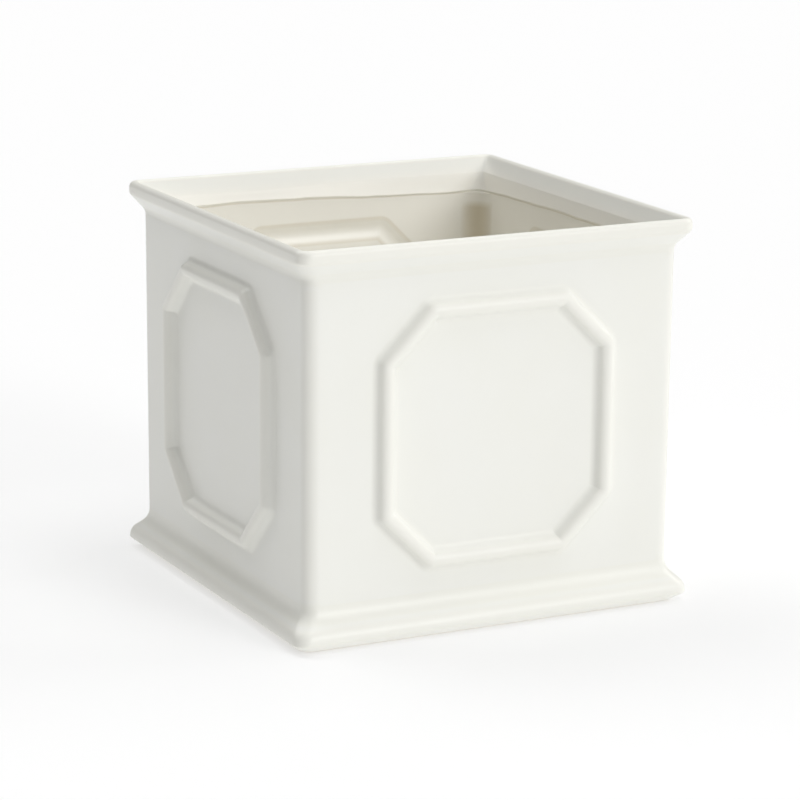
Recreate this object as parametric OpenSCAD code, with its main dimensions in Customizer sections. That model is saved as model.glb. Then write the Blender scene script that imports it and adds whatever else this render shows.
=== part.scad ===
// Square slip-cast cachepot with a flared rim, eight-sided raised beads and a moulded base.
// Units are millimetres. The origin is the centre of the base on the surface it stands on,
// +Z is up, and the four sides face along X and Y.

/* [Overall] */
// Height from the surface it stands on to the top of the rim
height = 182; // [150:1:260]

/* [Walls] */
// Width across two opposite walls just under the rim
wall_top_w = 187.8; // [180:0.2:192]
// Width across two opposite walls just above the base moulding
wall_foot_w = 187; // [180:0.2:192]
// Thickness of the cast wall
wall_t = 4.7; // [3.5:0.1:6]
// Radius of the upright edges outside
edge_r = 6.6; // [3:0.2:12]
// Radius of the upright corners inside, where the slip builds up
inner_edge_r = 12; // [6:0.5:20]

/* [Rim] */
// How far the rim's rounded nose stands out from the wall
rim_proud = 5.85; // [4:0.05:9]
// Radius between the nose and the top
rim_nose_r = 2.6; // [2:0.1:3.4]
// Height of the upright band on the nose
rim_band = 2.1; // [0.5:0.1:3]
// Radius between the nose and the flare under it
rim_under_r = 3; // [1.5:0.1:4.5]
// Angle between the flare under the nose and the upright wall
rim_flare = 38; // [30:1:45]
// Radius of the hollow that turns the wall into the flare
rim_cove_r = 6.6; // [3:0.1:9]
// Corner radius of the rim, seen from above, measured at its nose
rim_corner_r = 6.5; // [5:0.5:12]

/* [Mouth] */
// How far the crease inside the mouth lies in from the nose
crease_in = 9.2; // [8:0.1:11]
// Depth of the crease below the top of the rim
crease_depth = 7.5; // [5:0.1:9]
// Corner radius of the crease
crease_corner_r = 1.5; // [0.5:0.1:4]
// How far the lip stands proud of the cast wall below it
lip_proud = 0.6; // [0.3:0.1:1.6]
// Depth of the lip's lower edge below the top of the rim
lip_depth = 14.1; // [11:0.1:20]
// Corner radius of the lip's lower edge
lip_corner_r = 7; // [2:0.5:12]
// Height of the step under the lip
lip_step = 0.6; // [0.3:0.1:1.5]

/* [Base moulding] */
// How far the base moulding's widest line stands out from the wall's foot
base_proud = 7.5; // [5.5:0.1:10]
// Height of the widest line of the base above the surface it stands on
base_nose_z = 5.7; // [4.5:0.1:8]
// Radius above the widest line
base_nose_r = 7; // [4:0.1:8]
// Radius below the widest line
base_under_r = 1.8; // [1:0.1:2.5]
// Angle between the sloping top of the base and the upright wall
base_slope = 46; // [40:1:52]
// Radius of the hollow that turns the base into the wall
base_cove_r = 10.2; // [5:0.1:11]
// Corner radius of the base, seen from above, measured at its widest line
base_corner_r = 7; // [5:0.5:12]

/* [Foot] */
// How far the foot lies in from the widest line of the base
foot_in = 5.6; // [4.5:0.1:8]
// Width of the ground, unglazed foot
foot_land = 13; // [11:0.5:20]
// Depth of the recess under the floor
foot_recess = 2.2; // [1:0.1:4]
// Corner radius of the foot
foot_corner_r = 5; // [3:0.5:8]

/* [Floor] */
// Thickness of the floor
floor_t = 6; // [4:0.5:9]
// Radius between the floor and the walls inside
floor_fillet_r = 10; // [6:0.5:14]

/* [Beads] */
// Width of the eight-sided bead, measured on its centre line
bead_frame_w = 111.2; // [90:0.2:124]
// Height of the eight-sided bead, measured on its centre line
bead_frame_h = 114.2; // [90:0.2:120]
// Height of the middle of the bead above the surface it stands on
bead_mid_z = 93; // [90:0.5:97]
// Length that each corner of the bead is cut back
bead_cut = 22.5; // [12:0.5:36]
// Width of the bead with its fillets
bead_w = 13.2; // [9:0.1:15]
// Height of the bead above the wall
bead_rise = 3.9; // [2:0.1:4.2]
// Radius of the bead's round crest
bead_crest_r = 3.5; // [2:0.1:3.6]
// Width of the shallow channel that the bead leaves inside the wall
echo_w = 13; // [9:0.1:16]
// Depth of that channel
echo_depth = 1.3; // [0.8:0.1:2.2]

/* [Pads] */
// Diameter of a foot pad
pad_d = 10; // [8:0.5:10.5]
// Thickness of a foot pad
pad_t = 0.6; // [0.5:0.1:2]

/* [Hidden] */
glaze_white = [0.94, 0.93, 0.9];
pad_clear = [0.82, 0.82, 0.8];
corner_steps = 6;
arc_steps = 6;
bead_steps = 4;
bead_sink = 1;
bead_bed = 0.05;
pad_facets = 48;

wall_top = wall_top_w / 2;
wall_foot = wall_foot_w / 2;
rim_out = wall_top + rim_proud;
base_out = wall_foot + base_proud;
foot_out = base_out - foot_in;
foot_inner = foot_out - foot_land;
foot_z = pad_t;
recess_z = foot_z + foot_recess;
floor_z = recess_z + floor_t;
inner_top = wall_top - wall_t;
inner_foot = wall_foot - wall_t;
crease_out = rim_out - crease_in;
lip_out = inner_top - lip_proud;
pad_at = foot_out - foot_land / 2;

// Points of an arc in the plane of a profile: distance out from the middle, and height.
function arc(centre, r, from, to, steps) =
    [for (i = [0:steps]) let (a = from + (to - from) * i / steps) centre + r * [cos(a), sin(a)]];

// Corner radius at a distance out, running evenly from one known pair to another.
function blend_r(out, from_out, from_r, to_out, to_r) =
    from_r + (to_r - from_r) * (out - from_out) / (to_out - from_out);

// Rim: the flare starts as a hollow arc on the wall and runs straight into the nose, which
// has a rounding below, a short upright band and a tighter rounding at the top.
rim_nose_c = [rim_out - rim_nose_r, height - rim_nose_r];
rim_under_c = [rim_out - rim_under_r, rim_nose_c[1] - rim_band];
rim_under = arc(rim_under_c, rim_under_r, -rim_flare, 0, arc_steps / 2);
rim_cove_end = wall_top + rim_cove_r * (1 - cos(rim_flare));
rim_straight = (rim_under[0][0] - rim_cove_end) / tan(rim_flare);
rim_cove_z = rim_under[0][1] - rim_straight - rim_cove_r * sin(rim_flare);
rim_cove = arc([wall_top + rim_cove_r, rim_cove_z], rim_cove_r, 180, 180 - rim_flare, arc_steps);

// The sloping face inside the mouth leaves the nose where a line to the crease touches it.
crease_pt = [crease_out, height - crease_depth];
to_crease = crease_pt - rim_nose_c;
mouth_angle = atan2(to_crease[1], to_crease[0]) + 360 - acos(rim_nose_r / norm(to_crease));
rim_nose = concat(
    rim_under,
    arc(rim_nose_c, rim_nose_r, 0, 90, arc_steps - 2),
    [for (i = [1:arc_steps / 2]) arc(rim_nose_c, rim_nose_r, 90, mouth_angle, arc_steps / 2)[i]]);

// Base: a flat foot, a slope under the widest line, a round nose, a slope and a hollow.
base_under_c = [base_out - base_under_r, base_nose_z];
to_foot = [foot_out, foot_z] - base_under_c;
under_angle = atan2(to_foot[1], to_foot[0]) + acos(base_under_r / norm(to_foot));
base_under = arc(base_under_c, base_under_r, under_angle, 0, 3);
base_nose = arc([base_out - base_nose_r, base_nose_z], base_nose_r, 0, base_slope, arc_steps);
base_nose_end = base_nose[arc_steps];
base_cove_end = wall_foot + base_cove_r * (1 - cos(base_slope));
base_straight = (base_nose_end[0] - base_cove_end) / tan(base_slope);
base_cove_z = base_nose_end[1] + base_straight + base_cove_r * sin(base_slope);
base_cove = arc([wall_foot + base_cove_r, base_cove_z], base_cove_r, 180 + base_slope, 180, arc_steps);

// Floor fillet inside, from the floor up to the wall.
fillet_c = [inner_foot - floor_fillet_r, floor_z + floor_fillet_r];
floor_fillet = arc(fillet_c, floor_fillet_r, 0, -90, arc_steps);

// Rows of the casting from the recess under the floor, out round the base, up the wall, over
// the rim and down inside to the floor. Each row is [distance out, height, corner radius].
rows = concat(
    [[foot_inner - foot_recess, recess_z, foot_corner_r],
     [foot_inner, foot_z, foot_corner_r],
     [foot_out, foot_z, foot_corner_r]],
    [for (p = base_under) [p[0], p[1], blend_r(p[0], foot_out, foot_corner_r, base_out, base_corner_r)]],
    [for (i = [1:arc_steps]) let (p = base_nose[i])
        [p[0], p[1], blend_r(p[0], wall_foot, edge_r, base_out, base_corner_r)]],
    [for (p = base_cove) [p[0], p[1], blend_r(p[0], wall_foot, edge_r, base_out, base_corner_r)]],
    [for (p = rim_cove) [p[0], p[1], blend_r(p[0], wall_top, edge_r, rim_out, rim_corner_r)]],
    [for (p = rim_nose) [p[0], p[1], p[1] < rim_nose_c[1]
        ? blend_r(p[0], wall_top, edge_r, rim_out, rim_corner_r)
        : max(crease_corner_r, rim_corner_r - (rim_out - p[0]))]],
    [[crease_out, crease_pt[1], crease_corner_r],
     [lip_out, height - lip_depth, lip_corner_r],
     [inner_top, height - lip_depth - lip_step, inner_edge_r]],
    [for (p = floor_fillet) [p[0], p[1], inner_edge_r - (inner_foot - p[0]) * inner_edge_r
        / (floor_fillet_r + inner_edge_r)]]);

// One row as a closed loop of points: a square of half width `out` with round corners.
function loop(row) = let (out = row[0], z = row[1], r = row[2])
    [for (quarter = [0:3], i = [0:corner_steps])
        let (a = 90 * (quarter + i / corner_steps),
             mid = 90 * quarter + 45,
             c = (out - r) * sqrt(2) * [cos(mid), sin(mid)])
        [c[0] + r * cos(a), c[1] + r * sin(a), z]];

// Closed skin over a stack of loops, each with n points, with flat ends. The order of the
// points turns the faces outward for rows that start underneath and run up the outside.
module skin(loops) {
    n = len(loops[0]);
    last = len(loops) - 1;
    sides = [for (k = [0:last - 1], j = [0:n - 1])
        let (j2 = (j + 1) % n, a = k * n + j, b = k * n + j2, c = a + n, d = b + n)
        each [[a, c, b], [b, c, d]]];
    first_end = [for (j = [0:n - 1]) j];
    last_end = [for (j = [0:n - 1]) last * n + n - 1 - j];
    polyhedron(points = [for (l = loops) each l], faces = concat([first_end], sides, [last_end]));
}

// Eight corners of the bead's outline, moved out by `off` from its centre line.
function octagon(off) = let (
        w = bead_frame_w / 2 + off,
        h = bead_frame_h / 2 + off,
        cut = bead_cut + off * (2 - sqrt(2)))
    [[w, h - cut], [w - cut, h], [cut - w, h], [-w, h - cut],
     [-w, cut - h], [cut - w, -h], [w - cut, -h], [w, cut - h]];

// Half section of a swelling, from its foot to its crest: [distance from the centre line,
// height]. A hollow fillet meets a round crest of radius r where both have the same slope.
function swell(width, rise, r) = let (
        half = width / 2,
        slope = 2 * atan(rise / half),
        fillet_r = half / sin(slope) - r,
        fillet = arc([half, fillet_r], fillet_r, -90, -90 - slope, bead_steps),
        crest = arc([0, rise - r], r, 90 - slope, 90, bead_steps))
    concat(fillet, [for (i = [1:bead_steps]) crest[i]]);

// Full closed section: both halves, and a root that runs past the wall's surface. The edges
// of the fillets lie a hair under the surface, so that they cut it along a clean line.
function section(width, rise, r) = let (
        half = [for (p = swell(width, rise + bead_bed, r)) p - [0, bead_bed]],
        n = len(half))
    concat(
        [[width / 2, -bead_sink]], half,
        [for (i = [n - 2:-1:0]) [-half[i][0], half[i][1]]],
        [[-width / 2, -bead_sink]]);

// Half width of a wall's face at height z, on the line from its foot to its top.
function on_wall(z, foot, top) =
    foot + (top - foot) * (z - base_cove_z) / (rim_cove_z - base_cove_z);

// A closed eight-sided ring with a section, laid on the front wall's face. The section's
// height is measured straight out from the face, so the ring follows the wall's draft.
module ring(sec, foot, top) {
    m = len(sec);
    outlines = [for (s = sec) octagon(s[0])];
    pts = [for (j = [0:7], i = [0:m - 1])
        let (p = outlines[i][j], z = bead_mid_z + p[1])
        [p[0], -on_wall(z, foot, top) - sec[i][1], z]];
    faces = [for (j = [0:7], i = [0:m - 1])
        let (a = j * m + i, b = j * m + (i + 1) % m, c = (j + 1) % 8 * m + i, d = (j + 1) % 8 * m + (i + 1) % m)
        each [[a, b, c], [b, d, c]]];
    polyhedron(points = pts, faces = faces);
}

module on_each_side() {
    for (turn = [0:90:270])
        rotate([0, 0, turn]) children();
}

// The casting: shell, beads on the four walls, and the channels they leave inside.
module pot() {
    color(glaze_white)
        difference() {
            union() {
                skin([for (r = rows) loop(r)]);
                on_each_side()
                    ring(section(bead_w, bead_rise, bead_crest_r), wall_foot, wall_top);
            }
            on_each_side()
                ring(section(echo_w, echo_depth, 2 * bead_crest_r), inner_foot, inner_top);
        }
}

// A round pad under one corner of the foot.
module pad(side_x, side_y) {
    color(pad_clear)
        translate([side_x * pad_at, side_y * pad_at, 0])
            cylinder(d = pad_d, h = pad_t, $fn = pad_facets);
}

module pad_front_left() { pad(-1, -1); }
module pad_front_right() { pad(1, -1); }
module pad_back_left() { pad(-1, 1); }
module pad_back_right() { pad(1, 1); }

pot();
pad_front_left();
pad_front_right();
pad_back_left();
pad_back_right();
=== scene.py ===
"""Square slip-cast cachepot on its pads, with a plain floor, soft studio light and a camera."""
import math

import bpy
import numpy as np
from mathutils import Matrix, Vector


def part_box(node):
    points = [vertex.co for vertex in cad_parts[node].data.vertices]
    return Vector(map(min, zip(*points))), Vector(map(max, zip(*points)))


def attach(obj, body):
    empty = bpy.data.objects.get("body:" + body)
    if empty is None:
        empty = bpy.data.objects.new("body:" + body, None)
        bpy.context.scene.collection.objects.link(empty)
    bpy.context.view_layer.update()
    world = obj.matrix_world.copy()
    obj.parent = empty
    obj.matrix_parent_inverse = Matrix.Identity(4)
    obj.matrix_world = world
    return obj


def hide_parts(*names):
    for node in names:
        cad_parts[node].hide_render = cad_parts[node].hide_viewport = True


bl_info = {
    "name": "Square cachepot",
    "version": (1, 0, 0),
    "blender": (4, 5, 0),
    "location": "3D View > Sidebar > Cachepot",
    "description": "Builds a glazed square cachepot, its pads, a floor, the light and a camera",
    "category": "Add Mesh",
}

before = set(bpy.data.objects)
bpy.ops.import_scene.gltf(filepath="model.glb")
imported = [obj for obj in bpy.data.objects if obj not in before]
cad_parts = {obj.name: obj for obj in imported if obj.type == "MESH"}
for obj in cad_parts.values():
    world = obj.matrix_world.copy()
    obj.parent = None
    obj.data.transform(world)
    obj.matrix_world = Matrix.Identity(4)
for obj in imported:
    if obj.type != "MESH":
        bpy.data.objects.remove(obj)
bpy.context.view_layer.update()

MM = 0.001

# How finely the surface is laid out. The octagon's long sides, its cut corners, the bends
# between them and the pot's own round corners each have their own number of steps.
RUN_STEPS = 14
CUT_STEPS = 8
BEND_STEPS = 6
CORNER_STEPS = 10
RING_POINTS = 4 * (RUN_STEPS - 1) + 4 * (CUT_STEPS - 1) + 8 * (BEND_STEPS + 1)
SIDE_POINTS = RING_POINTS // 4 + 1
BEAD_RINGS = 29
CHANNEL_RINGS = 15
PAD_SIDES = 48
PAD_EDGE_STEPS = 5

# Rings on the flat inside the bead, as shares of the bead's innermost ring, and rings outside
# it, by how far each has opened out into the wall's own outline.
CENTRE_SHARES = np.array([0.12, 0.3, 0.5, 0.7, 0.86, 0.97])
OPEN_SHARES = np.array([0.03, 0.15, 0.35, 0.6, 0.85, 0.975, 1.0])

# Rows on the floor and on the recess under it, as shares of the way out from the middle.
FLAT_SHARES = (0.25, 0.5, 0.75, 0.97)

# How far from a bend a flat has its first row, so that the bend's smooth shading ends there.
HOLD = 0.3 * MM
WIDE_HOLD = 0.4 * MM

# The bead's rings bend no tighter than this.
TIGHTEST_BEND = 0.6 * MM

# Points that round to the same multiple of this are one point.
WELD = 0.0001 * MM

# How the glaze lies on each stretch of the profile: 1 where it fills a hollow, -1 where it runs
# thin over an edge and 0 where it lies even. The darkening in hollows is partly thicker glaze and
# partly painted shade. The stretches run from the recess under the floor round the outside, over
# the rim and down to the floor inside.
GLAZE_POOL_AND_SHADE = {
    "recess": 0.0,
    "recess step": 0.6,
    "foot, inner edge": -0.8,
    "foot": 0.0,
    "foot, outer edge": -1.0,
    "under slope": 0.0,
    "under nose": -0.6,
    "base nose": -0.5,
    "base slope": 0.0,
    "base cove": 0.8,
    "rim cove": 0.8,
    "rim flare": 0.0,
    "rim, under nose": -0.9,
    "rim nose": -0.9,
    "mouth": -0.2,
    "crease": -0.7,
    "lip": 0.0,
    "lip edge": -1.0,
    "under lip": 0.3,
    "lip fade": 0.0,
    "wall top": 0.0,
    "floor fillet": 0.8,
    "floor": 0.2,
}
BARE_STRETCHES = ("foot, inner edge", "foot", "foot, outer edge")

# The same on the walls. On the bead it falls by 1 from its feet to its crest. The darkening at
# the bead's feet and in the upright corners inside is partly thicker glaze and partly painted shade.
BEAD_FOOT_POOL_AND_SHADE = 0.35
INNER_CORNER_POOL_AND_SHADE = 0.8
OUTER_EDGE_POOL = -0.5

# Number of waves that each of the mouth's two ripples has round the pot, and where the short
# ripple starts, in radians.
LONG_WAVES = 13
SHORT_WAVES = 31
SHORT_START = 1

# What red, green and blue are multiplied by where the glaze lies thick, which in hollows also
# stands for painted shade, where it is thin, in the bare body's grit and in the clouds of the pads.
THICK_GLAZE_AND_SHADE_TINT = (0.985, 0.98, 0.955)
THIN_TINT = (1.0, 0.985, 0.95)
GRIT_TINT = (0.86, 0.86, 0.86)
CLOUD_TINT = (0.9, 0.9, 0.9)

# Sockets of the mix node's two colours and of its result, whose names aren't unique.
MIX_FIRST = 6
MIX_SECOND = 7
MIX_RESULT = 2

# How far the floor reaches from the middle, and how far the camera sees, in metres.
FLOOR_REACH = 12.0
CAMERA_CLIP_END = 50

# The studio's soft lights: name, turn from the front to the right, height and apparent size in
# degrees, and strength.
SOFT_LIGHTS = (
    ("key", 20, 20, 20, 0.79),
    ("high key", 35, 30, 30, 0.38),
    ("top", 30, 72, 30, 0.7),
    ("right", 90, 32, 34, 0.8),
    ("high back right", 150, 55, 40, 0.5),
    ("high back left", -150, 55, 40, 1.1),
    ("high front", -20, 50, 30, 0.37),
)


def length(name, description, value_mm):
    """A length property given in millimetres."""
    return bpy.props.FloatProperty(
        name=name, description=description, default=value_mm * MM, min=0.0, precision=5, unit="LENGTH"
    )


def angle(name, description, degrees):
    """An angle property given in degrees."""
    return bpy.props.FloatProperty(
        name=name, description=description, default=math.radians(degrees), subtype="ANGLE"
    )


def number(name, description, value):
    """A plain number property."""
    return bpy.props.FloatProperty(name=name, description=description, default=value, precision=4)


def tint(name, description, code):
    """A colour property given as an sRGB hex code."""
    return bpy.props.FloatVectorProperty(
        name=name, description=description, subtype="COLOR", size=3, min=0.0, max=1.0,
        default=hex_to_linear(code),
    )


def hex_to_linear(code):
    """Turn an sRGB hex code into linear red, green and blue."""
    channels = np.array([int(code[i : i + 2], 16) for i in (1, 3, 5)]) / 255
    low = channels / 12.92
    high = ((channels + 0.055) / 1.055) ** 2.4
    return tuple(float(c) for c in np.where(channels <= 0.04045, low, high))


class CachepotSizes(bpy.types.PropertyGroup):
    """Sizes of the casting. Half widths are measured from the middle of the pot, and corner
    radii are seen from above."""

    height: length("Height", "From the surface it stands on to the top of the rim", 182)
    wall_top: length("Wall, top", "Half width across the walls under the rim", 93.9)
    wall_foot: length("Wall, foot", "Half width across the walls above the base", 93.5)
    wall: length("Wall thickness", "Thickness of the cast wall", 4.7)
    edge_r: length("Edge radius", "Radius of the upright edges", 6.6)
    inner_edge_r: length("Inner edge radius", "Radius of the upright corners inside", 12)
    rim_out: length("Rim", "Half width across the rim", 99.75)
    rim_nose_r: length("Rim nose radius", "Radius between the rim's nose and its top", 2.6)
    rim_band: length("Rim band", "Height of the upright band on the rim's nose", 2.1)
    rim_under_r: length("Rim under radius", "Radius between the rim's nose and the flare", 3)
    rim_cove_r: length("Rim cove radius", "Radius of the hollow under the flare", 6.6)
    rim_flare: angle("Rim flare", "Angle between the flare and the upright wall", 38)
    rim_corner_r: length("Rim corner", "Corner radius of the rim", 6.5)
    crease_in: length("Crease, in", "From the rim's nose in to the crease", 9.2)
    crease_depth: length("Crease depth", "Depth of the crease below the top", 7.5)
    crease_r: length("Crease radius", "Rounding of the crease", 1.2)
    crease_corner_r: length("Crease corner", "Corner radius of the crease", 1.5)
    lip_proud: length("Lip", "How far the lip stands proud of the wall below it", 0.6)
    lip_depth: length("Lip depth", "Depth of the lip's lower edge below the top", 14.1)
    lip_r: length("Lip edge radius", "Rounding of the lip's lower edge", 0.7)
    lip_corner_r: length("Lip corner", "Corner radius of the lip's lower edge", 7)
    lip_step: length("Lip step", "Height of the step from the lip's edge back to the wall", 1)
    lip_step_r: length("Lip step radius", "Rounding where the step meets the wall", 0.6)
    lip_step_corner_r: length("Lip step corner", "Corner radius where the rounding starts", 8)
    lip_fade: length("Lip fade", "Height over which the uneven trim dies out in the wall", 7)
    base_out: length("Base", "Half width across the base moulding", 101)
    base_nose_z: length("Base nose height", "Height of the base's widest line", 5.7)
    base_nose_r: length("Base nose radius", "Radius above the widest line", 7)
    base_under_r: length("Base under radius", "Radius below the widest line", 1.8)
    base_under_corner_r: length("Base under corner", "Corner radius where that curve starts", 5.5)
    base_slope: angle("Base slope", "Angle between the base's top and the upright wall", 46)
    base_cove_r: length("Base cove radius", "Radius of the hollow above the base", 10.2)
    base_corner_r: length("Base corner", "Corner radius of the base's widest line", 7)
    foot_in: length("Foot, in", "From the base's widest line in to the foot", 5.6)
    foot_land: length("Foot land", "Width of the ground foot", 13)
    foot_recess: length("Foot recess", "Depth of the recess under the floor", 2.2)
    foot_inner_r: length("Foot inner radius", "Rounding of the foot's inner edge", 0.9)
    foot_outer_r: length("Foot outer radius", "Rounding of the foot's outer edge", 0.8)
    foot_corner_r: length("Foot corner", "Corner radius of the foot's inner edge", 5)
    foot_outer_corner_r: length("Foot outer corner", "Corner radius of the outer edge", 5.5)
    recess_r: length("Recess radius", "Rounding between the recess and its step", 1.2)
    floor: length("Floor thickness", "Thickness of the floor", 6)
    floor_fillet_r: length("Floor fillet radius", "Radius between the floor and the walls", 10)
    floor_corner_r: length("Floor corner", "Corner radius of the flat floor", 7.2)
    pour_in: length("Poured glaze, in", "From the outer face in to where it starts", 0.94)
    pour_fade: length("Poured glaze, fade", "Width over which it takes over", 3)


class MouthTrim(bpy.types.PropertyGroup):
    """Unevenness of the hand-trimmed mouth. Directions from the pot's middle run anticlockwise
    from its right side, seen from above."""

    shift: length("Shift", "How far the lip's edge is raised all round", 0.3)
    bulge: length("Bulge", "How far the edge rises at the bulge and the crease sinks", 0.9)
    bulge_at: angle("Bulge, direction", "Direction of the bulge", 112)
    bulge_reach: angle("Bulge reach", "Angle over which the bulge dies out", 20)
    dip: length("Dip", "How far the edge falls at the dip", 2.3)
    dip_at: angle("Dip, direction", "Direction of the dip", 53)
    dip_reach: angle("Dip reach", "Angle over which the dip dies out", 25)
    long_ripple: length("Long ripple", "Height of the long ripple", 0.18)
    short_ripple: length("Short ripple", "Height of the short ripple", 0.1)


class BeadSizes(bpy.types.PropertyGroup):
    """Sizes of the eight-sided bead and of the channel that it leaves inside."""

    half_width: length("Half width", "From the middle to the upright runs", 55.6)
    half_height: length("Half height", "From the middle to the level runs", 57.1)
    middle_z: length("Middle height", "Height of the bead's middle", 93)
    cut: length("Cut", "Length that each corner is cut back", 22.5)
    spread: length("Spread", "Half width of the bead with its fillets", 6.6)
    rise: length("Rise", "Height of the bead above the wall", 5.2)
    crest_r: length("Crest radius", "Radius of the round crest", 3.5)
    bend_r: length("Bend radius", "Radius of the bead's corners on its centre line", 2.5)
    echo_spread: length("Channel half width", "Half width of the channel inside", 6.5)
    echo_depth: length("Channel depth", "Depth of the channel inside", 1.3)
    echo_crest_r: length("Channel radius", "Radius of the channel's round bottom", 7)


class PadSizes(bpy.types.PropertyGroup):
    """Sizes of the pads under the foot."""

    radius: length("Radius", "Radius of a pad", 5)
    thickness: length("Thickness", "Thickness of a pad", 0.6)
    edge_r: length("Edge radius", "Rounding of a pad's edges", 0.25)


class CachepotLook(bpy.types.PropertyGroup):
    """Colours of the glaze, the bare body, the pads and the floor."""

    glaze: tint("Glaze", "Colour of the glaze outside", "#F7F7F1")
    cream: tint("Glaze inside", "Colour of the thicker glaze that was poured inside", "#F9F7EF")
    # Dark tan painted in the inside hollows and upright corners: partly pooled glaze, partly painted
    # shade.
    pooled_and_shade: tint("Pooled glaze and painted shade", "Colour of the glaze where it fills the inside corners", "#C4B592")
    body: tint("Bare body", "Colour of the fired body on the foot", "#E6DDCB")
    pad: tint("Pads", "Colour of the pads", "#DADAD6")
    floor: tint("Floor", "Colour of the unlit floor", "#BCBCBC")
    roughness: number("Glaze roughness", "Roughness of the satin glaze", 0.36)


class StudioSetup(bpy.types.PropertyGroup):
    """Camera and light."""

    lens_mm: number("Lens", "Focal length in millimetres", 145.03)
    sensor_mm: number("Sensor", "Width of the sensor in millimetres", 36)
    azimuth: angle("Camera azimuth", "Turn of the camera from the front to the left", 26.81)
    elevation: angle("Camera elevation", "How far the camera looks down", 13.746)
    roll: angle("Camera roll", "Turn of the picture", 0.5356)
    distance: length("Camera distance", "From the aim point to the camera", 1528.7)
    aim_z: length("Aim height", "Height of the aim point", 93.54)
    side_shift: length("Side shift", "Camera's shift to its left", 0.767)
    down_shift: length("Down shift", "Camera's shift downwards", 8.26)
    light: number("Light", "Strength of all lights together", 1.0)
    floor_glow: number("Floor glow", "Light that comes through the floor from behind", 0.485)


# Profile of the casting. A row is a distance from the middle, a height and a corner radius.


def arc_rows(centre, r, start, stop, corners, steps):
    """Rows on an arc: distance and height run round the centre from one angle to the other, in
    degrees, and the corner radius runs evenly between the two corner radii."""
    turn = np.radians(np.linspace(start, stop, steps + 1))
    corner = np.linspace(corners[0], corners[1], steps + 1)
    return np.stack([centre[0] + r * np.cos(turn), centre[1] + r * np.sin(turn), corner], -1)


def line_rows(start, stop, steps, hold=0.0):
    """Rows on a straight line between two rows, which are left out. With hold, one more row
    lies that far from each end, so that the smooth shading of the bends at its ends doesn't
    spread over the flat."""
    share = np.arange(1, steps) / steps
    if hold:
        span = math.dist(start[:2], stop[:2])
        share = np.unique(np.concatenate([share, [hold / span, 1 - hold / span]]))
    return start + (stop - start) * share[:, None]


def bend_at(before, point, after, r, corner, steps):
    """Rows on an arc that rounds the corner at a point between two others: it touches both
    lines, so its centre lies on their bisector."""
    point = np.asarray(point)
    back = (np.asarray(before) - point) / math.dist(before, point)
    ahead = (np.asarray(after) - point) / math.dist(after, point)
    half = math.acos(float(np.clip(back @ ahead, -1, 1))) / 2
    centre = point + (back + ahead) / np.linalg.norm(back + ahead) * r / math.sin(half)
    first = point + back * r / math.tan(half) - centre
    last = point + ahead * r / math.tan(half) - centre
    start = math.degrees(math.atan2(first[1], first[0]))
    sweep = math.degrees(math.atan2(last[1], last[0])) - start
    sweep = (sweep + 180) % 360 - 180
    return arc_rows(centre, r, start, start + sweep, (corner, corner), steps)


def touch_angle(centre, r, point, side):
    """Angle in degrees at which a line from a point touches a circle. The touching point lies
    anticlockwise of the point itself when side is 1, and clockwise when it is -1."""
    to_point = np.asarray(point) - centre
    open_by = math.acos(r / np.linalg.norm(to_point))
    return math.degrees(math.atan2(to_point[1], to_point[0]) + side * open_by)


def base_profile(s, foot_z):
    """Stretches of rows from the middle of the recess out over the foot, and up over the base
    moulding, round nose, slope and cove, to the wall."""
    recess_z = foot_z + s.foot_recess
    outer = (s.base_out - s.foot_in, foot_z)
    inner = (outer[0] - s.foot_land, foot_z)
    recess_edge = (inner[0] - s.foot_recess, recess_z)
    recess = [(recess_edge[0] * f, recess_z, s.foot_corner_r * f) for f in FLAT_SHARES]
    step = bend_at((0, recess_z), recess_edge, inner, s.recess_r, s.foot_corner_r, steps=4)
    inner_edge = bend_at(recess_edge, inner, outer, s.foot_inner_r, s.foot_corner_r, steps=4)
    under_centre = (s.base_out - s.base_under_r, s.base_nose_z)
    under_from = touch_angle(under_centre, s.base_under_r, outer, 1)
    under_corners = (s.base_under_corner_r, s.base_corner_r)
    under = arc_rows(under_centre, s.base_under_r, under_from, 0, under_corners, steps=8)
    after = under[0, :2]
    outer_edge = bend_at(inner, outer, after, s.foot_outer_r, s.foot_outer_corner_r, steps=5)

    slope = math.degrees(s.base_slope)
    corners = (s.base_corner_r, s.edge_r)
    nose_centre = (s.base_out - s.base_nose_r, s.base_nose_z)
    nose = arc_rows(nose_centre, s.base_nose_r, 0, slope, corners, steps=12)[1:]
    cove_end = s.wall_foot + s.base_cove_r * (1 - math.cos(s.base_slope))
    straight = (nose[-1, 0] - cove_end) / math.tan(s.base_slope)
    cove_z = nose[-1, 1] + straight + s.base_cove_r * math.sin(s.base_slope)
    cove_centre = (s.wall_foot + s.base_cove_r, cove_z)
    cove = arc_rows(cove_centre, s.base_cove_r, 180 + slope, 180, corners, steps=14)
    slope_rows = line_rows(nose[-1], cove[0], steps=3)
    for rows in (nose, slope_rows, cove):
        rows[:, 2] = np.interp(rows[:, 0], (s.wall_foot, s.base_out), corners[::-1])
    return [
        ("recess", np.array(recess)),
        ("recess step", step),
        ("foot, inner edge", inner_edge),
        ("foot", line_rows(inner_edge[-1], outer_edge[0], steps=4, hold=WIDE_HOLD)),
        ("foot, outer edge", outer_edge),
        ("under slope", line_rows(outer_edge[-1], under[0], steps=4, hold=HOLD)),
        ("under nose", under),
        ("base nose", nose),
        ("base slope", slope_rows),
        ("base cove", cove),
    ]


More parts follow.
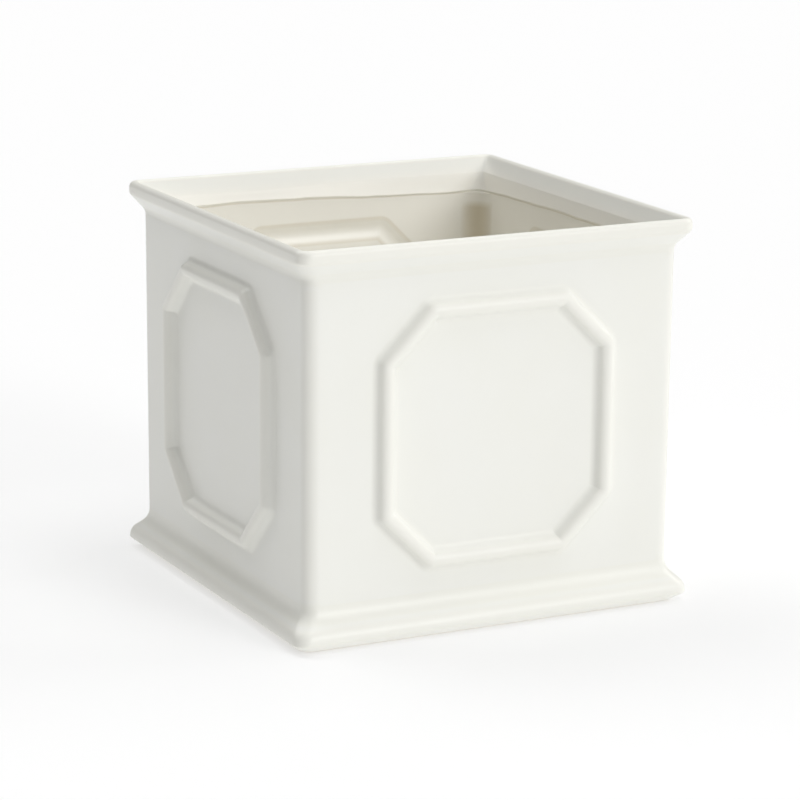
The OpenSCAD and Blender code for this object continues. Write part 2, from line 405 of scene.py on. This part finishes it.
def rim_profile(s):
    """Stretches of rows from the wall up under the rim, over its nose, down the mouth's slope to
    the crease, and down the lip and its step to the wall inside."""
    flare = math.degrees(s.rim_flare)
    corners = (s.edge_r, s.rim_corner_r)
    nose_centre = np.array([s.rim_out - s.rim_nose_r, s.height - s.rim_nose_r])
    under_centre = (s.rim_out - s.rim_under_r, nose_centre[1] - s.rim_band)
    under_nose = arc_rows(under_centre, s.rim_under_r, -flare, 0, corners, steps=8)
    cove_end = s.wall_top + s.rim_cove_r * (1 - math.cos(s.rim_flare))
    straight = (under_nose[0, 0] - cove_end) / math.tan(s.rim_flare)
    cove_z = under_nose[0, 1] - straight - s.rim_cove_r * math.sin(s.rim_flare)
    cove_centre = (s.wall_top + s.rim_cove_r, cove_z)
    cove = arc_rows(cove_centre, s.rim_cove_r, 180, 180 - flare, corners, steps=14)
    flare_rows = line_rows(cove[-1], under_nose[0], steps=4, hold=HOLD)
    for rows in (cove, flare_rows, under_nose):
        rows[:, 2] = np.interp(rows[:, 0], (s.wall_top, s.rim_out), corners)

    crease = (s.rim_out - s.crease_in, s.height - s.crease_depth)
    nose_stop = touch_angle(nose_centre, s.rim_nose_r, crease, -1) + 360
    nose = arc_rows(nose_centre, s.rim_nose_r, 0, nose_stop, corners, steps=20)
    nose[:, 2] = np.maximum(s.rim_corner_r - (s.rim_out - nose[:, 0]), s.crease_corner_r)
    inner = s.wall_top - s.wall
    lip = (inner - s.lip_proud, s.height - s.lip_depth)
    step_end = (inner, lip[1] - s.lip_step)
    wall_top = np.array([inner, lip[1] - s.lip_fade, s.inner_edge_r])
    crease_rows = bend_at(nose[-1, :2], crease, lip, s.crease_r, s.crease_corner_r, steps=5)
    lip_edge = bend_at(crease, lip, step_end, s.lip_r, s.lip_corner_r, steps=6)
    under_lip = bend_at(lip, step_end, wall_top[:2], s.lip_step_r, s.inner_edge_r, steps=5)
    under_lip[:, 2] = np.linspace(s.lip_step_corner_r, s.inner_edge_r, len(under_lip))
    return [
        ("rim cove", cove),
        ("rim flare", flare_rows),
        ("rim, under nose", under_nose),
        ("rim nose", nose),
        ("mouth", line_rows(nose[-1], crease_rows[0], steps=4, hold=HOLD)),
        ("crease", crease_rows),
        ("lip", line_rows(crease_rows[-1], lip_edge[0], steps=6, hold=HOLD)),
        ("lip edge", lip_edge),
        ("under lip", under_lip),
        ("lip fade", line_rows(under_lip[-1], wall_top, steps=6, hold=WIDE_HOLD)),
        ("wall top", wall_top[None]),
    ]


def floor_profile(s, foot_z):
    """Stretches of rows from the foot of the walls inside in to the middle of the floor."""
    floor_z = foot_z + s.foot_recess + s.floor
    reach = s.wall_foot - s.wall - s.floor_fillet_r
    corners = (s.inner_edge_r, s.floor_corner_r)
    fillet_centre = (reach, floor_z + s.floor_fillet_r)
    fillet = arc_rows(fillet_centre, s.floor_fillet_r, 0, -90, corners, steps=12)
    flat = [(reach * f, floor_z, s.floor_corner_r * f) for f in FLAT_SHARES[::-1]]
    return [("floor fillet", fillet), ("floor", np.array(flat))]


# Surfaces


def octagon_rings(bead, offsets):
    """Rounded octagons, one for each offset from the bead's centre line. Each side lies on a
    line at its own distance from the middle plus the offset, and each corner is an arc that
    touches both lines. Points run anticlockwise from the middle of the lower left cut."""
    offsets = np.asarray(offsets, float)[:, None]
    bend = np.maximum(bead.bend_r + offsets, TIGHTEST_BEND)
    span = (bead.half_width + bead.half_height - bead.cut) / math.sqrt(2)
    reach = [bead.half_height, span, bead.half_width, span] * 2
    bends = []
    for k in range(8):
        a = math.radians(45 * k - 90)
        b = a + math.radians(45)
        near = reach[k] + offsets - bend
        far = reach[(k + 1) % 8] + offsets - bend
        across = (near * math.sin(b) - far * math.sin(a)) / math.sin(b - a)
        up = (far * math.cos(a) - near * math.cos(b)) / math.sin(b - a)
        turn = np.linspace(a, b, BEND_STEPS + 1)
        bends.append(np.stack([across + bend * np.cos(turn), up + bend * np.sin(turn)], -1))
    parts = []
    for k in range(8):
        steps = CUT_STEPS if k % 2 else RUN_STEPS
        share = (np.arange(1, steps) / steps)[None, :, None]
        start = bends[k - 1][:, -1:]
        stop = bends[k][:, :1]
        parts += [start + (stop - start) * share, bends[k]]
    ring = np.concatenate(parts, 1)
    first = RING_POINTS - (BEND_STEPS + 1) - (CUT_STEPS - 1) + CUT_STEPS // 2 - 1
    return np.roll(ring, -first, axis=1)


def swell(offset, spread, rise, crest_r):
    """Height of the bead at a distance from its centre line. A hollow fillet leaves the wall
    with no slope and meets the round crest where both have the same slope."""
    slope = 2 * math.atan(rise / spread)
    fillet_r = spread / math.sin(slope) - crest_r
    off = np.minimum(np.abs(offset), spread)
    meet = crest_r * math.sin(slope)
    crest = rise - crest_r + np.sqrt(np.maximum(crest_r**2 - off**2, 0))
    fillet = fillet_r - np.sqrt(np.maximum(fillet_r**2 - (spread - off) ** 2, 0))
    return np.where(off < meet, crest, fillet)


def bead_section(bead, inside):
    """Half width, height, crest radius and number of rings of the channel or of the bead."""
    if inside:
        return bead.echo_spread, bead.echo_depth, bead.echo_crest_r, CHANNEL_RINGS
    return bead.spread, bead.rise, bead.crest_r, BEAD_RINGS


def quarter_turn(points, k):
    """Points turned by k right angles about the upright axis."""
    c, s = [(1, 0), (0, 1), (-1, 0), (0, -1)][k % 4]
    x, y, z = np.moveaxis(points, -1, 0)
    return np.stack([c * x - s * y, s * x + c * y, z], -1)


def grid_faces(rows, columns, wrap):
    """Quads of a grid, whose columns close on themselves when wrap is true."""
    r = np.arange(rows - 1)[:, None] * columns
    c = np.arange(columns if wrap else columns - 1)[None, :]
    nxt = (c + 1) % columns
    return np.stack([r + c, r + nxt, r + columns + nxt, r + columns + c], -1).reshape(-1, 4)


class Shell:
    """Collects patches of points and faces, with the pooling of the glaze and its painted shade on
    each point and whether each face is bare, and welds them."""

    def __init__(self):
        self.points = []
        self.pool_and_shade = []
        self.quads = []
        self.bare = []
        self.count = 0

    def add(self, points, faces, pool_and_shade=0.0, bare=False, flip=False):
        """Add one patch. Pooling and painted shade, and bareness, are spread over its points and
        faces.
        """
        self.points.append(points.reshape(-1, 3))
        self.pool_and_shade.append(np.broadcast_to(pool_and_shade, points.shape[:-1]).reshape(-1))
        faces = faces[:, [1, 0, 3, 2]] if flip else faces
        self.quads.append(faces + self.count)
        self.bare.append(np.broadcast_to(bare, len(faces)))
        self.count += self.points[-1].shape[0]

    def weld(self):
        """Points, pooling and painted shade, faces and bareness, with points at the same place made
        one.
        """
        points = np.concatenate(self.points)
        keys = np.round(points / WELD).astype(np.int64)
        _, first, back = np.unique(keys, axis=0, return_index=True, return_inverse=True)
        faces = back.reshape(-1)[np.concatenate(self.quads)]
        return points[first], np.concatenate(self.pool_and_shade)[first], faces, np.concatenate(self.bare)


def side_shares(bead):
    """Where the points of a wall's edges lie, from -1 to 1: across its lower and upper edges,
    and up its two sides. They follow the outermost ring of the bead."""
    ring = octagon_rings(bead, [bead.spread])[0]
    n = SIDE_POINTS
    across = ring[:n, 0] / ring[n - 1, 0]
    up = ring[n - 1 : 2 * n - 1, 1] / ring[2 * n - 2, 1]
    return across, up


def loops(rows, across):
    """Closed loops round the pot, one for each row. Each side is straight and each corner is an
    arc."""
    d = rows[:, 0:1]
    r = rows[:, 2:3]
    turn = np.linspace(-math.pi / 2, 0, CORNER_STEPS + 1)[None, 1:-1]
    flat_y = np.broadcast_to(-d, (len(rows), len(across)))
    x = np.concatenate([across[None, :] * (d - r), d - r + r * np.cos(turn)], 1)
    y = np.concatenate([flat_y, -(d - r) + r * np.sin(turn)], 1)
    z = np.broadcast_to(rows[:, 1:2], x.shape)
    side = np.stack([x, y, z], -1)
    return np.concatenate([quarter_turn(side, k) for k in range(4)], 1)


def smooth(share):
    """A share from 0 to 1 that starts and ends with no slope: 3 share^2 - 2 share^3."""
    return share**2 * (3 - 2 * share)


def mouth_wander(points, inside, trim, top_z, crease_z, lip_z, wall_z):
    """The mouth was trimmed by hand, so the heights of its crease and of the lip's lower edge
    wander. With t the direction from the middle, the bulge is
    bulge exp(-((t - bulge_at) / bulge_reach)^2), and the dip is made in the same way. The edge
    rises by shift + bulge - dip and two ripples, and the crease sinks by the bulge. Each change
    is whole on its own line, dies out smoothly at the next line above and below, and leaves the
    points that aren't inside the rim's top alone. The heights are those of the rim's top, of
    these two lines and of the place on the wall where the change ends."""
    x, y, z = np.moveaxis(points, -1, 0)
    t = np.arctan2(y, x)
    bulge = trim.bulge * np.exp(-(((t - trim.bulge_at) / trim.bulge_reach) ** 2))
    dip = trim.dip * np.exp(-(((t - trim.dip_at) / trim.dip_reach) ** 2))
    ripple = trim.long_ripple * np.sin(LONG_WAVES * t)
    ripple += trim.short_ripple * np.sin(SHORT_WAVES * t + SHORT_START)
    lip_share = smooth(np.interp(z, [wall_z, lip_z, crease_z], [0, 1, 0]))
    crease_share = smooth(np.interp(z, [lip_z, crease_z, top_z], [0, 1, 0]))
    rise = (trim.shift + bulge - dip + ripple) * lip_share - bulge * crease_share
    return np.stack([x, y, z + rise * inside], -1)


def add_cap(shell, loop, flip):
    """Close a loop with a fan to its middle."""
    middle = loop.mean(0, keepdims=True)
    column = np.arange(len(loop))
    hub = np.zeros_like(column)
    fan = np.stack([column + 1, (column + 1) % len(loop) + 1, hub, hub], -1)
    shell.add(np.concatenate([middle, loop]), fan, flip=flip)


def add_loops(shell, stretches, across, trim=()):
    """Add named stretches of rows as one band round the pot. With trim, which holds the mouth's
    unevenness and the heights of its lines, the rows inside the rim's top wander."""
    rows = np.concatenate([r for _, r in stretches])
    # Pooling of the glaze for each row, which in hollows is also painted shade.
    pool_and_shade = np.concatenate([np.full(len(r), GLAZE_POOL_AND_SHADE[name]) for name, r in stretches])
    bare = np.concatenate([np.full(len(r), name in BARE_STRETCHES) for name, r in stretches])
    points = loops(rows, across)
    if trim:
        inside = np.arange(len(rows)) > np.argmax(rows[:, 1])
        points = mouth_wander(points, inside[:, None], *trim)
    faces = grid_faces(len(rows), points.shape[1], True)
    shell.add(points, faces, pool_and_shade[:, None], np.repeat(bare[:-1] & bare[1:], points.shape[1]))
    return points


def wall_out(low, high, z):
    """Distance of a wall from the middle at a height, straight from its lower to its upper
    row."""
    return low[0] + (high[0] - low[0]) / (high[1] - low[1]) * (z - low[1])


def wall_heights(bead, low, high):
    """Heights of the points up a wall's side."""
    _, up = side_shares(bead)
    return (low[1] + high[1]) / 2 + up * (high[1] - low[1]) / 2


def wall_outline(bead, low, high):
    """Outline of a flat wall between its round corners, with as many points as one of the
    bead's rings, anticlockwise from its lower left corner."""
    across, _ = side_shares(bead)
    z = wall_heights(bead, low, high)
    lower = np.stack([across * (low[0] - low[2]), np.full(SIDE_POINTS, low[1])], -1)
    upper = np.stack([across * (high[0] - low[2]), np.full(SIDE_POINTS, high[1])], -1)
    right = np.stack([wall_out(low, high, z) - low[2], z], -1)
    left = right * [-1, 1]
    return np.concatenate([lower[:-1], right[:-1], upper[:0:-1], left[:0:-1]])


def wall_face(bead, low, high, inside):
    """Points of one flat wall with its swelling, and the pooling of the glaze on each ring, which at
    the bead's feet is also painted shade. The wall is laid out as rings about the bead's middle:
    plain octagons, the rings across the bead, and rings that open out into the wall's own outline.
    The swelling stands out from the face, so that on an inside face it is a channel."""
    spread, rise, crest_r, count = bead_section(bead, inside)
    middle = np.array([0, bead.middle_z])
    offsets = np.linspace(-1, 1, count) * spread
    centre_rings = octagon_rings(bead, [-spread]) * CENTRE_SHARES[:, None, None] + middle
    bead_rings = octagon_rings(bead, offsets) + middle
    to_outline = wall_outline(bead, low, high) - bead_rings[-1:]
    outer_rings = bead_rings[-1:] + to_outline * OPEN_SHARES[:, None, None]
    rings = np.concatenate([centre_rings, bead_rings, outer_rings])
    around = (len(centre_rings), len(outer_rings))
    swelling = swell(offsets, spread, rise, crest_r)
    height = np.pad(swelling, around)
    y = -wall_out(low, high, rings[..., 1]) - height[:, None]
    # Darker at the bead's feet, as thicker glaze and painted shade, and thinner over the crest.
    pool_and_shade = BEAD_FOOT_POOL_AND_SHADE - swelling / rise
    pool_and_shade[[0, -1]] = 0
    return np.stack([rings[..., 0], y, rings[..., 1]], -1), np.pad(pool_and_shade, around)


def corner_strip(bead, low, high):
    """Points of one upright round corner between two flat walls."""
    z = wall_heights(bead, low, high)[:, None]
    centre = wall_out(low, high, z) - low[2]
    turn = np.linspace(-math.pi / 2, 0, CORNER_STEPS + 1)
    x = centre + low[2] * np.cos(turn)
    y = -centre + low[2] * np.sin(turn)
    return np.stack([x, y, np.broadcast_to(z, x.shape)], -1)


def add_walls(shell, bead, low, high, inside):
    """Add four flat walls with their swellings and the round corners between them. low and high
    are the rows on the walls' lower and upper edges, which have the same corner radius."""
    face, pool_and_shade = wall_face(bead, low, high, inside)
    strip = corner_strip(bead, low, high)
    face_quads = grid_faces(face.shape[0], face.shape[1], True)
    strip_quads = grid_faces(strip.shape[0], strip.shape[1], False)
    # Inside, the upright corners are darker, as pooled glaze and painted shade. Outside, the glaze
    # runs thin over the edges.
    most_pool_and_shade = INNER_CORNER_POOL_AND_SHADE if inside else OUTER_EDGE_POOL
    strip_pool_and_shade = most_pool_and_shade * np.sin(np.linspace(0, math.pi, CORNER_STEPS + 1))
    for k in range(4):
        wall = quarter_turn(face, k)
        shell.add(wall, face_quads, pool_and_shade[:, None], flip=not inside)
        add_cap(shell, wall[0], inside)
        shell.add(quarter_turn(strip, k), strip_quads, strip_pool_and_shade, flip=inside)


def poured_share(points, start, fade, edge_r, floor_mid):
    """How far a point belongs to the glaze that was poured inside: 0 below floor_mid or with a
    reach beyond start, rising to 1 over the width of fade inwards. The reach is the half width
    of the square loop with corners of edge_r that runs through the point. With a and b its
    distances from the two middle planes, that is the greater of them, and near a corner
    edge_r + (a + b - sqrt(2 edge_r^2 - (a - b)^2)) / 2."""
    a, b = np.abs(points[:, :2]).T
    gap = np.minimum(np.abs(a - b), edge_r)
    round_reach = edge_r + (a + b - np.sqrt(2 * edge_r**2 - gap**2)) / 2
    reach = np.where(gap < edge_r, round_reach, np.maximum(a, b))
    share = np.clip((start - reach) / fade, 0, 1)
    return share * (points[:, 2] > floor_mid)


def make_object(name, points, faces, materials, kinds=None, attributes=None):
    """Put points and faces into a smooth mesh object, with named values on its points. kinds
    holds each face's material. Faces with a repeated corner become triangles."""
    mesh = bpy.data.meshes.new(name)
    same = faces[:, 3] == faces[:, 2]
    lengths = np.where(same, 3, 4)
    keep = np.ones(faces.shape, bool)
    keep[:, 3] = ~same
    corners = faces[keep]
    mesh.vertices.add(len(points))
    mesh.vertices.foreach_set("co", points.astype(np.float32).ravel())
    mesh.loops.add(len(corners))
    mesh.loops.foreach_set("vertex_index", corners.astype(np.int32))
    mesh.polygons.add(len(faces))
    starts = np.concatenate([[0], np.cumsum(lengths)[:-1]])
    mesh.polygons.foreach_set("loop_start", starts.astype(np.int32))
    for material in materials:
        mesh.materials.append(material)
    if kinds is not None:
        mesh.polygons.foreach_set("material_index", kinds.astype(np.int32))
    mesh.update(calc_edges=True)
    mesh.validate()
    mesh.shade_smooth()
    for attribute, values in (attributes or {}).items():
        layer = mesh.attributes.new(attribute, "FLOAT", "POINT")
        layer.data.foreach_set("value", values.astype(np.float32))
    piece = bpy.data.objects.new(name, mesh)
    bpy.context.scene.collection.objects.link(piece)
    return piece


# Materials


def add_node(tree, kind, settings=None, links=()):
    """Add a node, set its properties or its inputs by name, and link other sockets to it."""
    node = tree.nodes.new(kind)
    for key, value in (settings or {}).items():
        if isinstance(key, int) or key in node.inputs:
            node.inputs[key].default_value = value
        else:
            setattr(node, key, value)
    for socket, source in links:
        tree.links.new(source, node.inputs[socket])
    return node


def new_material(name):
    """An empty node material with its output."""
    material = bpy.data.materials.new(name)
    material.use_nodes = True
    material.node_tree.nodes.clear()
    output = add_node(material.node_tree, "ShaderNodeOutputMaterial")
    return material, material.node_tree, output


def opaque(colour, factors=(1, 1, 1)):
    """A colour with its red, green and blue multiplied by factors, and an alpha of 1."""
    return tuple(c * f for c, f in zip(colour, factors)) + (1,)


def noise(tree, size, detail):
    """Noise in the object's own coordinates, whose spots are about as large as size."""
    place = add_node(tree, "ShaderNodeTexCoord").outputs["Object"]
    settings = {"Scale": 1 / size, "Detail": detail}
    return add_node(tree, "ShaderNodeTexNoise", settings, [("Vector", place)]).outputs[0]


def point_value(tree, name):
    """The value that the mesh holds under a name on its points."""
    return add_node(tree, "ShaderNodeAttribute", {"attribute_name": name}).outputs["Fac"]


def map_range(tree, value, given, wanted):
    """A value moved from one range to another and kept inside it."""
    settings = {
        "From Min": given[0], "From Max": given[1], "To Min": wanted[0], "To Max": wanted[1],
    }
    return add_node(tree, "ShaderNodeMapRange", settings, [("Value", value)]).outputs[0]


def mix_colours(tree, share, first, second):
    """Two colours mixed by a share. The second is fixed, and the first is fixed or a socket."""
    node = add_node(tree, "ShaderNodeMix", {"data_type": "RGBA"}, [(0, share)])
    if isinstance(first, bpy.types.NodeSocket):
        tree.links.new(first, node.inputs[MIX_FIRST])
    else:
        node.inputs[MIX_FIRST].default_value = first
    node.inputs[MIX_SECOND].default_value = second
    return node.outputs[MIX_RESULT]


def bump(tree, height, strength, depth, below=()):
    """A normal roughened by a height, on top of another one when below links it."""
    settings = {"Strength": strength, "Distance": depth}
    links = [("Height", height), *below]
    return add_node(tree, "ShaderNodeBump", settings, links).outputs[0]


def add_surface(tree, output, settings, links=()):
    """Add the surface's shader and link it to the material's output."""
    shader = add_node(tree, "ShaderNodeBsdfPrincipled", settings, links)
    tree.links.new(shader.outputs[0], output.inputs[0])


def satin_glaze(look):
    """Satin white glaze on slip-cast earthenware, dipped and fired. It gives the eye a soft broad
    sheen, a faint unevenness where it flowed, a hair more colour and some painted shade where it
    gathers in hollows, and a little less colour where it runs thin over edges. Inside it was poured
    and is thicker, so it looks creamier there, and warmer and darker in its hollows and upright
    corners, which is partly pooled glaze and partly painted shade."""
    material, tree, output = new_material("Slip-cast earthenware, satin white glaze")
    # Clouds of thicker and thinner glaze, about 35 mm across.
    cloud = noise(tree, 35 * MM, detail=2.0)
    # Fine skin of the satin surface, about 1.6 mm across.
    skin = noise(tree, 1.6 * MM, detail=2.0)
    pool_and_shade = point_value(tree, "glaze_pool_and_shade")
    cream = point_value(tree, "glaze_cream")
    # Hollows are darker: partly thicker glaze, partly painted shade.
    hollow = map_range(tree, pool_and_shade, given=(0.0, 1.0), wanted=(0.0, 0.8))
    edge = map_range(tree, pool_and_shade, given=(0.0, -1.0), wanted=(0.0, 0.6))
    patch = map_range(tree, cloud, given=(0.35, 0.7), wanted=(0.0, 0.35))
    # Inside hollows and corners turn a darker tan: partly pooled glaze, partly painted shade.
    inner = [(0, cream), (1, hollow)]
    inner_pool_and_shade = add_node(tree, "ShaderNodeMath", {"operation": "MULTIPLY"}, inner).outputs[0]
    colour = mix_colours(tree, patch, opaque(look.glaze), opaque(look.glaze, THICK_GLAZE_AND_SHADE_TINT))
    colour = mix_colours(tree, hollow, colour, opaque(look.glaze, THICK_GLAZE_AND_SHADE_TINT))
    colour = mix_colours(tree, edge, colour, opaque(look.glaze, THIN_TINT))
    colour = mix_colours(tree, cream, colour, opaque(look.cream))
    colour = mix_colours(tree, inner_pool_and_shade, colour, opaque(look.pooled_and_shade))
    rough_range = (look.roughness - 0.03, look.roughness + 0.05)
    rough = map_range(tree, cloud, given=(0.0, 1.0), wanted=rough_range)
    fine = bump(tree, skin, strength=0.12, depth=0.05 * MM)
    flow = bump(tree, cloud, strength=0.35, depth=0.5 * MM, below=[("Normal", fine)])
    links = [("Base Color", colour), ("Roughness", rough), ("Normal", flow)]
    add_surface(tree, output, {"IOR": 1.5}, links)
    return material


def bare_body(look):
    """Fired earthenware body on the wiped foot: dry, matt and finely gritty."""
    material, tree, output = new_material("Fired earthenware body, ground and bare")
    # Grit of 0.6 mm, drawn coarser than the real grain so that it shows.
    grit = noise(tree, 0.6 * MM, detail=3.0)
    colour = mix_colours(tree, grit, opaque(look.body), opaque(look.body, GRIT_TINT))
    rough = bump(tree, grit, strength=0.4, depth=0.1 * MM)
    links = [("Base Color", colour), ("Normal", rough)]
    add_surface(tree, output, {"IOR": 1.45, "Roughness": 0.9}, links)
    return material


def pad_rubber(look):
    """Cast soft polyurethane: a matt, faintly cloudy pad."""
    material, tree, output = new_material("Cast polyurethane pad, matt")
    # Clouds in the casting, about 2 mm across.
    cloud = noise(tree, 2 * MM, detail=1.0)
    colour = mix_colours(tree, cloud, opaque(look.pad), opaque(look.pad, CLOUD_TINT))
    rough = bump(tree, cloud, strength=0.2, depth=0.05 * MM)
    links = [("Base Color", colour), ("Normal", rough)]
    add_surface(tree, output, {"IOR": 1.5, "Roughness": 0.6}, links)
    return material


def floor_acrylic(look, glow):
    """Matt opal acrylic, lit from behind so that it shows almost as pure white and shadows on
    it stay pale."""
    material, tree, output = new_material("Cast opal acrylic, matt and lit from behind")
    settings = {
        "Base Color": opaque(look.floor),
        "Roughness": 1.0,
        "Specular IOR Level": 0.0,
        "Emission Color": (1, 1, 1, 1),
        "Emission Strength": glow,
    }
    add_surface(tree, output, settings)
    return material


# Stage


def direction(turn, height):
    """Direction from the middle that is turned from the front to the right and raised above
    level."""
    level = math.cos(height)
    return Vector((math.sin(turn) * level, -math.cos(turn) * level, math.sin(height)))


def add_light(scene, name, turn, height, spread, energy):
    """Add a far soft light, with its turn, height and apparent size in degrees."""
    light = bpy.data.lights.new(name, "SUN")
    light.energy = energy
    light.angle = math.radians(spread)
    towards = direction(math.radians(turn), math.radians(height))
    lamp = bpy.data.objects.new(name, light)
    lamp.rotation_euler = towards.to_track_quat("Z", "Y").to_euler()
    scene.collection.objects.link(lamp)


def add_camera(scene, studio):
    """Add the camera at the photograph's viewing angle."""
    back = direction(-studio.azimuth, studio.elevation)
    right = Vector((math.cos(studio.azimuth), -math.sin(studio.azimuth), 0))
    up = back.cross(right)
    place = Vector((0, 0, studio.aim_z)) + studio.distance * back
    place -= studio.side_shift * right + studio.down_shift * up
    roll_right = math.cos(studio.roll) * right + math.sin(studio.roll) * up
    roll_up = math.cos(studio.roll) * up - math.sin(studio.roll) * right
    turn = Matrix((roll_right, roll_up, back)).transposed()
    data = bpy.data.cameras.new("camera")
    data.lens = studio.lens_mm
    data.sensor_width = studio.sensor_mm
    data.clip_end = CAMERA_CLIP_END
    data.dof.use_dof = False
    camera = bpy.data.objects.new("camera", data)
    camera.matrix_world = Matrix.Translation(place) @ turn.to_4x4()
    scene.collection.objects.link(camera)
    scene.camera = camera


# Pieces


class CACHEPOT_OT_cast_pot(bpy.types.Operator):
    """Cast the pot: base moulding, beaded walls, flared rim, lip and floor as one skin"""

    bl_idname = "cachepot.cast_pot"
    bl_label = "Cast the Pot"

    def execute(self, context):
        scene = context.scene
        sizes = scene.cachepot_sizes
        bead = scene.cachepot_bead
        look = scene.cachepot_look
        foot_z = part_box("pad_front_left")[1][2]
        base = base_profile(sizes, foot_z)
        rim = rim_profile(sizes)
        floor = floor_profile(sizes, foot_z)
        lip_z = sizes.height - sizes.lip_depth
        crease_z = sizes.height - sizes.crease_depth
        trim = (scene.cachepot_trim, sizes.height, crease_z, lip_z, lip_z - sizes.lip_fade)

        shell = Shell()
        across, _ = side_shares(bead)
        base_loops = add_loops(shell, base, across)
        add_cap(shell, base_loops[0], True)
        add_loops(shell, rim, across, trim)
        floor_loops = add_loops(shell, floor, across)
        add_cap(shell, floor_loops[-1], False)
        add_walls(shell, bead, base[-1][1][-1], rim[0][1][0], False)
        add_walls(shell, bead, floor[0][1][0], rim[-1][1][-1], True)
        points, pool_and_shade, faces, bare = shell.weld()

        pour_start = sizes.wall_top - sizes.pour_in
        floor_mid = floor[-1][1][-1, 1] - sizes.floor / 2
        cream = poured_share(points, pour_start, sizes.pour_fade, sizes.edge_r, floor_mid)
        materials = [satin_glaze(look), bare_body(look)]
        # The pooling holds the thicker and thinner glaze and the painted shade in hollows.
        values = {"glaze_pool_and_shade": pool_and_shade, "glaze_cream": cream}
        pot = make_object("cachepot_casting", points, faces, materials, bare, values)
        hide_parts("pot")
        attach(pot, "root")
        return {"FINISHED"}


class CACHEPOT_OT_stick_pads(bpy.types.Operator):
    """Stick a round pad under each corner of the foot"""

    bl_idname = "cachepot.stick_pads"
    bl_label = "Stick the Pads"

    def execute(self, context):
        sizes = context.scene.cachepot_pads
        material = pad_rubber(context.scene.cachepot_look)
        e = sizes.edge_r
        t = sizes.thickness
        flat = sizes.radius - e
        bend = np.radians(np.linspace(0, 90, PAD_EDGE_STEPS + 1))
        half_flat = [flat / 2]
        out = np.concatenate([half_flat, flat + e * np.sin(bend), flat + e * np.cos(bend), half_flat])
        up = np.concatenate([[0], e - e * np.cos(bend), t - e + e * np.sin(bend), [t]])
        turn = np.linspace(0, 2 * math.pi, PAD_SIDES, endpoint=False)
        for name in ("front_left", "front_right", "back_left", "back_right"):
            low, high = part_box("pad_" + name)
            x = (low[0] + high[0]) / 2 + out[:, None] * np.cos(turn)
            y = (low[1] + high[1]) / 2 + out[:, None] * np.sin(turn)
            rings = np.stack([x, y, np.broadcast_to(up[:, None], x.shape)], -1)
            shell = Shell()
            shell.add(rings, grid_faces(len(up), PAD_SIDES, True))
            add_cap(shell, rings[0], True)
            add_cap(shell, rings[-1], False)
            points, _, faces, _ = shell.weld()
            pad = make_object("pad_" + name + "_soft", points, faces, [material])
            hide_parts("pad_" + name)
            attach(pad, "root")
        return {"FINISHED"}


class CACHEPOT_OT_set_stage(bpy.types.Operator):
    """Lay the floor, and set the light and the camera"""

    bl_idname = "cachepot.set_stage"
    bl_label = "Set the Stage"

    def execute(self, context):
        scene = context.scene
        studio = scene.cachepot_studio
        corners = FLOOR_REACH * np.array([[-1, -1, 0], [1, -1, 0], [1, 1, 0], [-1, 1, 0]])
        acrylic = floor_acrylic(scene.cachepot_look, studio.floor_glow)
        floor = make_object("floor", corners, np.array([[0, 1, 2, 3]]), [acrylic])
        world = bpy.data.worlds.new("Studio room")
        world.use_nodes = True
        world.node_tree.nodes["Background"].inputs["Strength"].default_value = 0.0
        scene.world = world
        scene.view_settings.view_transform = "Standard"
        for name, turn, height, spread, strength in SOFT_LIGHTS:
            add_light(scene, name, turn, height, spread, strength * studio.light)
        add_camera(scene, studio)
        return {"FINISHED"}


class CACHEPOT_PT_panel(bpy.types.Panel):
    """Lists the steps that build the cachepot"""

    bl_idname = "CACHEPOT_PT_panel"
    bl_label = "Cachepot"
    bl_space_type = "VIEW_3D"
    bl_region_type = "UI"
    bl_category = "Cachepot"

    def draw(self, context):
        for step in STEPS:
            self.layout.operator(step.bl_idname)


STEPS = (CACHEPOT_OT_cast_pot, CACHEPOT_OT_stick_pads, CACHEPOT_OT_set_stage)
GROUPS = (
    ("cachepot_sizes", CachepotSizes),
    ("cachepot_trim", MouthTrim),
    ("cachepot_bead", BeadSizes),
    ("cachepot_pads", PadSizes),
    ("cachepot_look", CachepotLook),
    ("cachepot_studio", StudioSetup),
)


def register():
    """Register the property groups, the steps and the panel."""
    for name, group in GROUPS:
        bpy.utils.register_class(group)
        setattr(bpy.types.Scene, name, bpy.props.PointerProperty(type=group))
    for item in STEPS + (CACHEPOT_PT_panel,):
        bpy.utils.register_class(item)


def unregister():
    """Take away what register added, in the opposite order."""
    for item in (CACHEPOT_PT_panel,) + STEPS[::-1]:
        bpy.utils.unregister_class(item)
    for name, group in GROUPS[::-1]:
        delattr(bpy.types.Scene, name)
        bpy.utils.unregister_class(group)


def main():
    """Build every piece in order."""
    register()
    bpy.ops.cachepot.cast_pot()
    bpy.ops.cachepot.stick_pads()
    bpy.ops.cachepot.set_stage()


if __name__ == "__main__":
    main()
